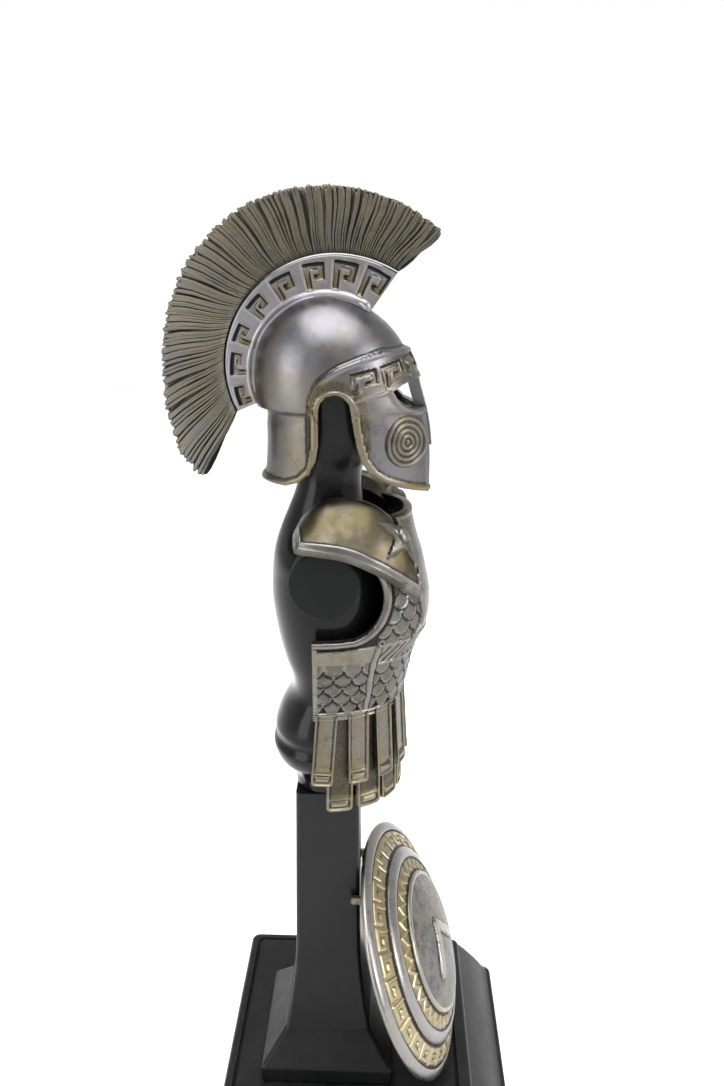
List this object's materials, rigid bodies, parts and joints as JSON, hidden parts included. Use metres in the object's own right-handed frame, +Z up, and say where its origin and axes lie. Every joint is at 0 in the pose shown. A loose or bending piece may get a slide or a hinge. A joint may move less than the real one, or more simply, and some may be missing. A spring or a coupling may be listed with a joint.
{
  "type": "miniature hoplite armour on a display stand",
  "caption": "Desk-size antiqued metal hoplite armour, with crested helmet, scale cuirass and leaning round shield, on a black torso stand.",
  "frame": {"origin": "centre of the base's underside", "axes": "+Z up, the armour faces -Y, +X to the armour's own left side"},
  "size_m": [0.0734, 0.0821, 0.2304],
  "materials": {
    "stand_satin_black": "satin black paint",
    "torso_gloss_black": "gloss black",
    "cuirass_antique_metal": "antiqued, with a dark patina in the relief",
    "helmet_pewter": "satin antique pewter",
    "crest_antique_bronze": "antiqued, dark in the grooves",
    "shield_silver_gold": "satin silver with antique gold bands"
  },
  "bodies": {
    "root": {"base": "stand_satin_black", "post": "stand_satin_black", "torso_form": "torso_gloss_black", "cuirass": "cuirass_antique_metal", "helmet": "helmet_pewter", "crest_plume": "crest_antique_bronze", "shield": "shield_silver_gold", "shield_peg": "stand_satin_black"}
  },
  "joints": []
}
